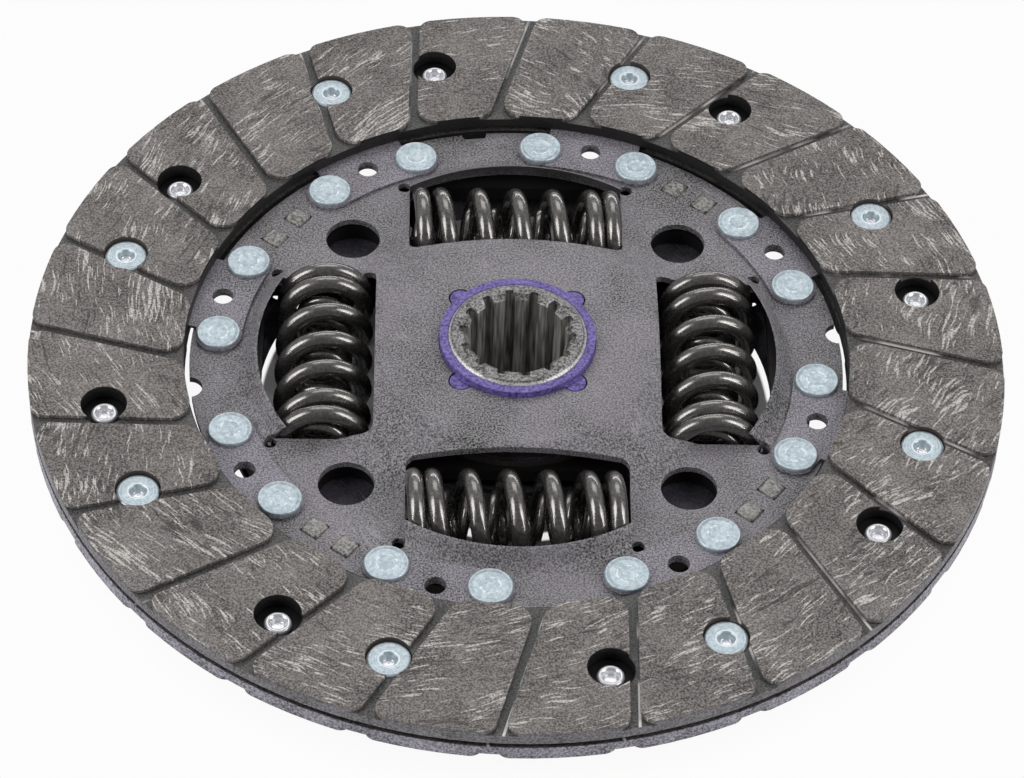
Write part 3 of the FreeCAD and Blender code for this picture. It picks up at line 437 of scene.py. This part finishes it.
def move_window_edges(work, room):
    """Moves the straight inner edges of the four spring windows towards the middle, by room.

    The springs' ends tilt as the hub twists, and would cut into these edges.
    """
    for vertex in work.verts:
        x, y = vertex.co.x, vertex.co.y
        if abs(abs(x) - window_edge) < edge_tolerance and abs(y) < window_half:
            vertex.co.x -= math.copysign(room, x)
        elif abs(abs(y) - window_edge) < edge_tolerance and abs(x) < window_half:
            vertex.co.y -= math.copysign(room, y)


def smooth_copy(node, bevel, room):
    """The node's solid as a clean mesh: merged, flats joined, edges broken by a small bevel."""
    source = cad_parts[node]
    mesh = source.data.copy()
    mesh.name = node + "_surface"
    mesh.materials.clear()
    work = bmesh.new()
    work.from_mesh(mesh)
    bmesh.ops.remove_doubles(work, verts=work.verts, dist=merge_distance)
    if room > 0:
        move_window_edges(work, room)
    bmesh.ops.dissolve_limit(work, angle_limit=flat_angle, verts=work.verts, edges=work.edges,
                             delimit={"NORMAL"})
    work.to_mesh(mesh)
    work.free()
    piece = bpy.data.objects.new(node + "_surface", mesh)
    bpy.context.scene.collection.objects.link(piece)
    mesh.shade_smooth()
    mesh.set_sharp_from_angle(angle=crease_angle)
    if bevel > 0:
        modifier = piece.modifiers.new("broken_edge", "BEVEL")
        modifier.width = bevel
        modifier.segments = 2
        modifier.limit_method = "ANGLE"
        modifier.angle_limit = crease_angle
        modifier.harden_normals = True
        modifier.use_clamp_overlap = True
    return piece


def dress(node, finish, bevel, body="disc", room=0.0):
    """Covers the node's solid with a finished copy, which replaces it and rides on a body."""
    piece = smooth_copy(node, bevel, room)
    piece.data.materials.append(finish)
    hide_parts(node)
    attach(piece, body)


lining_edge = 0.18 * MM
for lining, turned_over in (("lining_upper", False), ("lining_lower", True)):
    dress(lining, friction_compound(lining + "_compound", turned_over), lining_edge)


# Cushion segments: hardened spring sheet, riveted by their feet to the plate.
# The feet show as arched strips on the plate, in the same dark finish as the plate.
def dark_sheet(name, first, second, metal, rough, grain=1.7, tint=linear(112, 102, 122),
               shaded_beyond=0.0):
    """Phosphated or oil-blacked steel sheet: grainy, partly metallic, tinted in clouds, finely scratched.

    Beyond the radius shaded_beyond, in mm, the sheet is near black, if that radius is given.
    """
    finish, tree, surface = new_finish(name)
    place = millimetres(tree)
    mottle = place_group(tree, mottle_group, {
        "Vector": place, "Grain": grain, "Cloud": 0.07, "First": first, "Second": second})
    scratch = place_group(tree, yarn_group, {
        "Vector": place, "Slant": 0.9, "Length": 6.0, "Width": 0.3, "Cut": 0.73, "Shift": 5.0})
    colour = blend_colour(tree, calc(tree, "MULTIPLY", mottle.outputs["Wide"], 0.22),
                          mottle.outputs["Colour"], tint)
    colour = blend_colour(tree, calc(tree, "MULTIPLY", scratch.outputs[0], 0.4), colour,
                          linear(178, 175, 180))
    if shaded_beyond > 0:
        parts = add(tree, "ShaderNodeSeparateXYZ", {0: place})
        radius = flat_length(tree, parts.outputs[0], parts.outputs[1])
        colour = blend_colour(tree, ramp(tree, radius, shaded_beyond, shaded_beyond + 1.0), colour,
                              linear(24, 22, 24))
    tree.links.new(colour, surface.inputs["Base Color"])
    tree.links.new(ramp(tree, mottle.outputs["Height"], 0.0, 1.0, rough - 0.08, rough + 0.08),
                   surface.inputs["Roughness"])
    bump = add(tree, "ShaderNodeBump", {"Height": mottle.outputs["Height"], "Strength": 0.4,
                                        "Distance": 0.00006})
    tree.links.new(bump.outputs[0], surface.inputs["Normal"])
    surface.inputs["Metallic"].default_value = metal
    return finish


segment_finish = dark_sheet("segment_sheet", linear(50, 47, 48), linear(176, 172, 180), 0.3, 0.5, 2.6,
                            shaded_beyond=74.0)
segment_count = 8
for number in range(1, segment_count + 1):
    dress("cushion_segment_%d" % number, segment_finish, 0.08 * MM)


# Drive plate and retainer plate: pressed steel sheet, phosphated to a purplish grey.
# Both are dished in the middle, with lips pressed up along the spring windows.
plate_finish = dark_sheet("phosphated_steel", linear(28, 28, 26), linear(168, 165, 167), 0.3, 0.48, 2.6)
dress("drive_plate", plate_finish, 0.16 * MM)
far_plate_finish = dark_sheet("shaded_phosphated_steel", linear(40, 39, 41), linear(80, 78, 84), 0.3, 0.55)
dress("retainer_plate", far_plate_finish, 0.16 * MM, room=0.8 * MM)


# Stop spacers: flat steel bars between the plates, their tenons staked over in the slots.
# The staked ends show as small rough squares, in pairs.
stop_finish = dark_sheet("staked_steel", linear(74, 73, 70), linear(180, 178, 174), 0.4, 0.5, 1.8,
                         linear(130, 128, 120))
stop_count = 4
for number in range(1, stop_count + 1):
    dress("stop_spacer_%d" % number, stop_finish, 0.85 * MM)


# Rivets: pale zinc plated steel. The flat ones hold the segments' feet to the plate.
# The tubular ones hold the linings; their rolled tails show in the linings' clearance holes.
pole_distance = 0.001 * MM
rivet_crease_angle = math.radians(40.0)


def turned_rings(profile, places, steps, name):
    """Each place gets the profile, radius and height in mm, turned full circle about a line along Z.

    A point is (x + r cos a, y + r sin a, z), for every step of the angle a and every profile point (r, z).
    The UV map holds a / 2 pi and the profile point's radius in mm.
    """
    profile = np.asarray(profile, float)
    places = np.asarray(places, float)
    count = len(profile)
    angles = np.linspace(0.0, 2 * np.pi, steps, endpoint=False)
    ring = np.stack([np.outer(np.cos(angles), profile[:, 0]), np.outer(np.sin(angles), profile[:, 0]),
                     np.tile(profile[:, 1], (steps, 1))], axis=-1)
    points = (ring[None] + places[:, None, None, :]).reshape(-1, 3) * MM
    step, row = np.meshgrid(np.arange(steps), np.arange(count - 1), indexing="ij")
    near_edge = step * count + row
    far_edge = (step + 1) % steps * count + row
    quads = np.stack([near_edge, far_edge, far_edge + 1, near_edge + 1], -1).reshape(-1, 4)
    offsets = np.arange(len(places)) * steps * count
    faces = (quads[None] + offsets[:, None, None]).reshape(-1, 4)
    mesh = bpy.data.meshes.new(name)
    mesh.from_pydata(points.tolist(), [], faces.tolist())
    uv = mesh.uv_layers.new(name="turned")
    u = np.stack([step, step + 1, step + 1, step], -1).reshape(-1) / steps
    inner, outer = profile[row, 0], profile[row + 1, 0]
    v = np.stack([inner, inner, outer, outer], -1).reshape(-1)
    flat = np.tile(np.stack([u, v], -1), (len(places), 1)).reshape(-1)
    uv.data.foreach_set("uv", flat.astype(np.float32))
    work = bmesh.new()
    work.from_mesh(mesh)
    bmesh.ops.remove_doubles(work, verts=work.verts, dist=pole_distance)
    bmesh.ops.recalc_face_normals(work, faces=work.faces)
    work.to_mesh(mesh)
    work.free()
    mesh.shade_smooth()
    mesh.set_sharp_from_angle(angle=rivet_crease_angle)
    piece = bpy.data.objects.new(name, mesh)
    bpy.context.scene.collection.objects.link(piece)
    return piece


def rounded(points, steps=4):
    """A section of points (r, z), where a point (r, z, size) is a corner to round.

    Its curve starts and ends size away from the corner, along the two sides, and runs as (1 - share)^2 start
    + 2 share (1 - share) corner + share^2 end.
    """
    out = []
    count = len(points)
    for index, point in enumerate(points):
        corner = np.array(point[:2], float)
        size = point[2] if len(point) > 2 else 0.0
        if size <= 0 or index in (0, count - 1):
            out.append(corner)
            continue
        before = np.array(points[index - 1][:2], float) - corner
        after = np.array(points[index + 1][:2], float) - corner
        before /= np.linalg.norm(before)
        after /= np.linalg.norm(after)
        share = np.linspace(0.0, 1.0, steps + 1)[:, None]
        start, end = corner + before * size, corner + after * size
        out.extend(((1 - share) ** 2 * start + 2 * share * (1 - share) * corner + share ** 2 * end).tolist())
    return np.array(out)


def on_circle(radius, angles):
    """Points on a circle about the hub axis, at angles in degrees."""
    angles = np.radians(np.asarray(angles, float))
    return np.stack([radius * np.cos(angles), radius * np.sin(angles), np.zeros_like(angles)], -1)


pressed_ring_pitch = 0.6
pressed_ring_depth = 0.3


def zinc_plate(name, tail):
    """Zinc plate with the faint rings that the rivet tool presses in, read from the UV map's radius.

    The pressed rings are painted paler along them, as sheen, and one ring 2 mm out is a painted highlight,
    shown in patches. With tail, the metal within 1.5 mm of the disc's middle plane is bare and smoother where
    the tool rolls it, and painted near white, as a highlight.
    """
    finish, tree, surface = new_finish(name)
    uv = add(tree, "ShaderNodeUVMap", uv_map="turned").outputs[0]
    radius = add(tree, "ShaderNodeSeparateXYZ", {0: uv}).outputs[1]
    place = millimetres(tree)
    rings = calc(tree, "SINE", calc(tree, "MULTIPLY", radius, 2 * math.pi / pressed_ring_pitch))
    mottle = place_group(tree, mottle_group, {
        "Vector": place, "Grain": 1.3, "Cloud": 0.4,
        "First": linear(164, 178, 186), "Second": linear(198, 210, 216)})
    # One ring 2 mm out is a painted highlight; the pressed rings are painted paler, as sheen.
    inner = calc(tree, "MULTIPLY", ramp(tree, radius, 1.7, 1.9), ramp(tree, radius, 2.3, 2.1))
    bright = calc(tree, "MAXIMUM", calc(tree, "MULTIPLY", ramp(tree, rings, 0.2, 0.9), 0.3), inner)
    # Patches of the mottle let the painted highlights through.
    highlight_patches = ramp(tree, mottle.outputs["Height"], 0.3, 0.9, 0.9 if tail else 0.0)
    bright = calc(tree, "MULTIPLY", bright, highlight_patches)
    colour = blend_colour(tree, calc(tree, "MULTIPLY", bright, 0.8), mottle.outputs["Colour"],
                          linear(232, 242, 246))
    rough = 0.38
    # The rolled tail end is smoother, and painted near white as a highlight.
    if tail:
        from_middle = calc(tree, "ABSOLUTE", add(tree, "ShaderNodeSeparateXYZ", {0: place}).outputs[2])
        rolled_and_lit = ramp(tree, from_middle, 1.6, 1.4)
        colour = blend_colour(tree, rolled_and_lit, colour, linear(236, 236, 240))
        rough = calc(tree, "MULTIPLY_ADD", rolled_and_lit, -0.14, rough)
    tree.links.new(colour, surface.inputs["Base Color"])
    height = calc(tree, "ADD", calc(tree, "MULTIPLY", rings, pressed_ring_depth),
                  calc(tree, "MULTIPLY", mottle.outputs["Height"], 0.3))
    bump = add(tree, "ShaderNodeBump", {"Height": height, "Strength": 0.35, "Distance": 0.0001})
    tree.links.new(bump.outputs[0], surface.inputs["Normal"])
    surface.inputs["Metallic"].default_value = 0.55
    if tail:
        tree.links.new(rough, surface.inputs["Roughness"])
    else:
        surface.inputs["Roughness"].default_value = rough
    return finish


zinc_finish = zinc_plate("zinc_plate", False)
tube_finish = zinc_plate("zinc_plate_with_bright_tail", True)
first_segment = 30.0
foot_rivet_circle = 61.8
foot_rivet_angle = 9.87
foot_angles = [first_segment + rivet_step * number + side * foot_rivet_angle
               for number in range(segment_count) for side in (-1, 1)]
flat_rivet = rounded([
    (0.0, 1.12), (1.35, 1.12, 0.25), (1.75, 1.2, 0.3), (3.7, 1.12, 0.3), (4.0, 1.25, 0.1), (4.3, 1.25, 0.12),
    (4.5, 1.0, 0.15), (4.5, 0.34, 0.1),
    (1.95, 0.34), (1.95, -1.76), (3.5, -1.76, 0.1), (3.5, -2.1, 0.3), (2.9, -2.35, 0.3), (0.0, -2.35)])
flat_rivets = turned_rings(flat_rivet, on_circle(foot_rivet_circle, foot_angles), 48, "flat_rivets")
flat_rivets.data.materials.append(zinc_finish)
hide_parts("segment_rivets")
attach(flat_rivets, "disc")

tube_rivet = [
    (0.0, 1.3), (1.2, 1.3, 0.3), (1.45, 2.4, 0.3), (1.75, 2.93, 0.25), (4.1, 2.93, 0.22), (4.35, 2.7, 0.15),
    (4.35, 2.1, 0.1), (1.98, 2.1), (1.98, -0.04), (2.6, -0.05, 0.2), (2.85, -0.55, 0.35), (2.5, -1.22, 0.4),
    (2.0, -1.25, 0.2), (1.5, -0.9, 0.3), (1.35, 0.2, 0.3), (0.0, 0.2)]
for name, side, first in (("upper", 1.0, upper_rivet_angle), ("lower", -1.0, lower_rivet_angle)):
    section = rounded(tube_rivet)
    section[:, 1] *= side
    places = on_circle(lining_rivet_circle, first + rivet_step * np.arange(segment_count))
    piece = turned_rings(section, places, 40, "lining_rivet_set_" + name)
    piece.data.materials.append(tube_finish)
    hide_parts("lining_rivets_" + name)
    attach(piece, "disc")


# Hub: turned from a forging in one piece with its flange, then broached with fourteen spline spaces.
# The end face shows fine tool rings and a bright broken edge.
hub_radius = 14.2
hub_top = 8.0
spline_radius = 12.05
tool_ring_pitch = 0.35


def turned_steel(name):
    """Turned steel: mid grey on the end face, bright on its chamfer, and painted near black on flange and
    barrel, as shade below the end face.

    The bore is painted paler, as light that falls into it, with streaks along it from broaching.
    """
    finish, tree, surface = new_finish(name)
    place = millimetres(tree)
    parts = add(tree, "ShaderNodeSeparateXYZ", {0: place})
    x, y, z = parts.outputs[0], parts.outputs[1], parts.outputs[2]
    radius = flat_length(tree, x, y)
    rings = calc(tree, "SINE", calc(tree, "MULTIPLY", radius, 2 * math.pi / tool_ring_pitch))
    face = place_group(tree, mottle_group, {
        "Vector": place, "Grain": 2.2, "Cloud": 0.25,
        "First": linear(44, 43, 42), "Second": linear(164, 162, 161)})
    chamfer = calc(tree, "MULTIPLY", ramp(tree, radius, hub_radius - 0.55, hub_radius - 0.35),
                   ramp(tree, z, hub_top - 1.0, hub_top - 0.75))
    chamfer = calc(tree, "MULTIPLY", chamfer, ramp(tree, face.outputs["Height"], 0.0, 0.6, 0.4, 1.0))
    colour = blend_colour(tree, chamfer, face.outputs["Colour"], linear(226, 224, 220))
    # The bore is painted paler, as light that falls into it; its streaks run along it from broaching.
    bore = calc(tree, "MULTIPLY", ramp(tree, z, hub_top - 0.7, hub_top - 1.1),
                ramp(tree, radius, spline_radius + 0.55, spline_radius + 0.15))
    drawn = add(tree, "ShaderNodeVectorMath", {0: place, 1: (1.0, 1.0, 0.08)}, operation="MULTIPLY")
    broached_and_lit = place_group(tree, mottle_group, {
        "Vector": drawn.outputs[0], "Grain": 1.3, "Cloud": 0.25,
        "First": linear(80, 78, 75), "Second": linear(206, 203, 198)})
    colour = blend_colour(tree, bore, colour, broached_and_lit.outputs["Colour"])
    # Flange and barrel are painted near black below the end face: painted shade.
    hub_shade = calc(tree, "MULTIPLY", ramp(tree, z, hub_top - 1.4, hub_top - 2.2),
                 ramp(tree, radius, spline_radius + 0.55, hub_radius - 0.8))
    colour = blend_colour(tree, hub_shade, colour, linear(34, 33, 34))
    tree.links.new(colour, surface.inputs["Base Color"])
    height = calc(tree, "ADD", calc(tree, "MULTIPLY", rings, 0.25), face.outputs["Height"])
    bump = add(tree, "ShaderNodeBump", {"Height": height, "Strength": 0.3, "Distance": 0.00008})
    tree.links.new(bump.outputs[0], surface.inputs["Normal"])
    surface.inputs["Metallic"].default_value = 0.5
    surface.inputs["Roughness"].default_value = 0.4
    return finish


dress("hub", turned_steel("hub_turned_steel"), 0.22 * MM, body="hub", room=1.1 * MM)


# Centring bush: violet moulded plastic, with four ears that lock it in the plate's bore.
# The rear bush is the same kind of moulding in dark plastic.
def moulded_plastic(name, first, second, rough):
    """Moulded plastic or compound, faintly mottled between two colours."""
    finish, tree, surface = new_finish(name)
    mottle = place_group(tree, mottle_group, {
        "Vector": millimetres(tree), "Grain": 1.5, "Cloud": 0.2, "First": first, "Second": second})
    tree.links.new(mottle.outputs["Colour"], surface.inputs["Base Color"])
    bump = add(tree, "ShaderNodeBump", {"Height": mottle.outputs["Height"], "Strength": 0.12,
                                        "Distance": 0.0001})
    tree.links.new(bump.outputs[0], surface.inputs["Normal"])
    surface.inputs["Roughness"].default_value = rough
    return finish


dress("centering_bush", moulded_plastic("violet_plastic", linear(54, 38, 108), linear(128, 112, 184), 0.42),
      0.2 * MM)
dress("rear_bush", moulded_plastic("dark_plastic", linear(40, 40, 44), linear(58, 58, 62), 0.45),
      0.2 * MM)


# Friction stack, held between the flange and the plates: two friction rings, a ring and a disc spring.
# Little of it shows, at the edges of the windows.
ring_finish = moulded_plastic("friction_ring_compound", linear(38, 35, 32), linear(56, 52, 48), 0.7)
shaded_steel = dark_sheet("shaded_steel", linear(36, 36, 37), linear(62, 62, 64), 0.4, 0.5)
for node, finish, slot in (("friction_ring_front", ring_finish, "friction_ring_material"),
                           ("friction_ring_rear", ring_finish, "friction_ring_material"),
                           ("pressure_ring", shaded_steel, "stop_steel"),
                           ("disc_spring", shaded_steel, "spring_sheet")):
    dress(node, finish, 0.1 * MM)


# Damper springs: oil-blacked wire, coiled right-handed outside and left-handed inside, ends ground flat.
# They lie in the windows and shorten as the hub twists.
spring_half_length = 22.45
spring_circle = 39.8
spring_height = -4.2
closed_gap = 0.13
soft_corner = 0.25


def coil_surface(radius, wire, pitch, half_turns, crest, hand, steps, sides):
    """Wire carried along a helix about Y: (radius sin a, f(t), radius cos a), with t in turns.

    a = 2 pi hand (t + crest). f(t) is the lesser of pitch |t| and the closed end coils' straight rise, with
    the sign of t, blended over a soft corner. Points beyond the ground end faces are brought back to them.
    """
    count = int(2 * half_turns * steps) + 1
    turns = np.linspace(-half_turns, half_turns, count)
    reach = np.abs(turns)
    closed = 2 * wire + closed_gap
    rise = spring_half_length - wire / 2 - closed * (half_turns - reach)
    gap = pitch * reach - rise
    along = np.sign(turns) * (rise + 0.5 * (gap - np.sqrt(gap ** 2 + soft_corner ** 2)))
    angle = 2 * np.pi * (turns + crest) * hand
    path = np.stack([radius * np.sin(angle), along, radius * np.cos(angle)], -1)
    tangent = np.gradient(path, axis=0)
    tangent /= np.linalg.norm(tangent, axis=1, keepdims=True)
    outward = np.stack([np.sin(angle), np.zeros(count), np.cos(angle)], -1)
    side = np.cross(tangent, outward)
    side /= np.linalg.norm(side, axis=1, keepdims=True)
    outward = np.cross(side, tangent)
    round_angle = np.linspace(0.0, 2 * np.pi, sides, endpoint=False)
    ring = (outward[:, None, :] * np.cos(round_angle)[None, :, None]
            + side[:, None, :] * np.sin(round_angle)[None, :, None]) * wire
    points = path[:, None, :] + ring
    points[..., 1] = np.clip(points[..., 1], -spring_half_length, spring_half_length)
    points = points.reshape(-1, 3)
    step, corner = np.meshgrid(np.arange(count - 1), np.arange(sides), indexing="ij")
    after = (corner + 1) % sides
    quads = np.stack([step * sides + corner, step * sides + after,
                      (step + 1) * sides + after, (step + 1) * sides + corner], -1)
    caps = [list(range(sides))[::-1], list(range((count - 1) * sides, count * sides))]
    return points, quads.reshape(-1, 4).tolist() + caps


def spring_wire(name):
    """Oiled spring wire: grey metal, slightly mottled, under a clear coat of oil."""
    finish, tree, surface = new_finish(name)
    place = millimetres(tree)
    mottle = place_group(tree, mottle_group, {
        "Vector": place, "Grain": 1.4, "Cloud": 0.2,
        "First": linear(112, 109, 106), "Second": linear(136, 133, 130)})
    tree.links.new(mottle.outputs["Colour"], surface.inputs["Base Color"])
    tree.links.new(ramp(tree, mottle.outputs["Height"], 0.0, 1.0, 0.2, 0.28), surface.inputs["Roughness"])
    surface.inputs["Metallic"].default_value = 0.85
    surface.inputs["Coat Weight"].default_value = 0.7
    surface.inputs["Coat Roughness"].default_value = 0.1
    return finish


spring_count = 4
wire_finish = spring_wire("oiled_spring_wire")
for kind, radius, wire, pitch, half_turns, crest, hand, steps, sides in (
        ("outer", 8.3, 1.8, 7.95, 3.4, 0.113, 1, 56, 24),
        ("inner", 4.9, 1.1, 5.0, 4.6, 0.0, -1, 40, 16)):
    points, faces = coil_surface(radius, wire, pitch, half_turns, crest, hand, steps, sides)
    for number in range(spring_count):
        name = "damper_spring_%s_%d" % (kind, number + 1)
        angle = 2 * math.pi * number / spring_count
        spin = np.array([[math.cos(angle), -math.sin(angle), 0.0], [math.sin(angle), math.cos(angle), 0.0],
                         [0.0, 0.0, 1.0]])
        middle = np.array([spring_circle * math.cos(angle), spring_circle * math.sin(angle), spring_height])
        mesh = bpy.data.meshes.new(name + "_wire")
        mesh.from_pydata(((points @ spin.T + middle) * MM).tolist(), [], faces)
        mesh.shade_smooth()
        mesh.materials.append(wire_finish)
        spring = bpy.data.objects.new(name + "_wire", mesh)
        bpy.context.scene.collection.objects.link(spring)
        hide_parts(name)
        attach(spring, "springs")
        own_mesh(spring)
